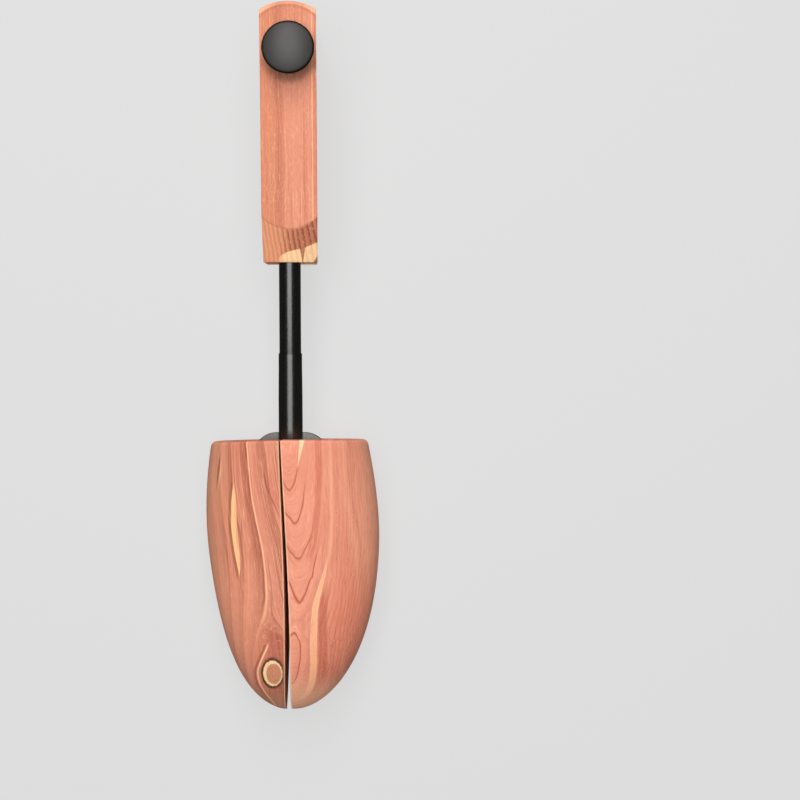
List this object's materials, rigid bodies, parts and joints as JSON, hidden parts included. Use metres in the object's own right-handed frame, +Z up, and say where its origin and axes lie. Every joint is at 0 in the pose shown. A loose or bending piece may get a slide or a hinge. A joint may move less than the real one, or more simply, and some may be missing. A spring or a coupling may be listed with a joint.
{
  "type": "shoe tree",
  "caption": "Cedar shoe tree with a split toe block, a sprung telescoping steel shaft and a narrow heel block with a turned knob.",
  "frame": {"origin": "below the middle of the tree's box, on the surface that it lies on", "axes": "+Y along the tree from the toe to the heel, +X across it to the right, +Z up"},
  "size_m": [0.0805, 0.3256, 0.071],
  "materials": {
    "cedar": "sanded, unfinished",
    "black_steel": "gloss black",
    "knob_black": "satin charcoal",
    "steel": "turned",
    "spring_steel": "drawn wire",
    "brass": "turned"
  },
  "bodies": {
    "bracket": {"toe_plate": "black_steel", "outer_tube": "black_steel", "front_plug": "steel", "plug_rivet": "steel", "tie_rod": "steel", "stop_nut": "brass", "main_spring": "spring_steel"},
    "toe_left": {"toe_half_left": "cedar", "pivot_pin_left": "steel", "spread_guide_pin": "steel", "spread_spring": "spring_steel"},
    "toe_right": {"toe_half_right": "cedar", "pivot_pin_right": "steel"},
    "plunger": {"spring_seat": "brass"},
    "heel": {"inner_tube": "black_steel", "seat_snap_ring": "spring_steel", "thrust_ring": "steel", "heel_block": "cedar", "heel_cross_pin": "steel", "knob": "knob_black", "knob_stud": "steel", "knob_insert": "brass", "knob_washer": "steel"}
  },
  "joints": [
    {"name": "shaft_slide", "type": "slide", "parent": "bracket", "child": "plunger", "axis": [0, 0.9954, 0.0958], "range_m": [-0.025, 0], "stiffness_N_per_m": 1800, "springref_m": 0.005, "deforming": ["main_spring"]},
    {"name": "heel_swivel", "type": "hinge", "parent": "plunger", "child": "heel", "pos_m": [0, -0.0362, 0.0245], "axis": [0, 0.9954, 0.0958], "continuous": true},
    {"name": "toe_left_spread", "type": "hinge", "parent": "bracket", "child": "toe_left", "pos_m": [-0.0115, -0.04406, 0.02374], "axis": [0, 0.0958, -0.9954], "range_deg": [-0.5, 1.8], "stiffness_Nm_per_rad": 4, "deforming": ["spread_spring"]},
    {"name": "toe_right_spread", "type": "hinge", "parent": "bracket", "child": "toe_right", "pos_m": [0.0115, -0.04406, 0.02374], "axis": [0, -0.0958, 0.9954], "range_deg": [-0.5, 1.8], "stiffness_Nm_per_rad": 4, "deforming": ["spread_spring"]}
  ]
}
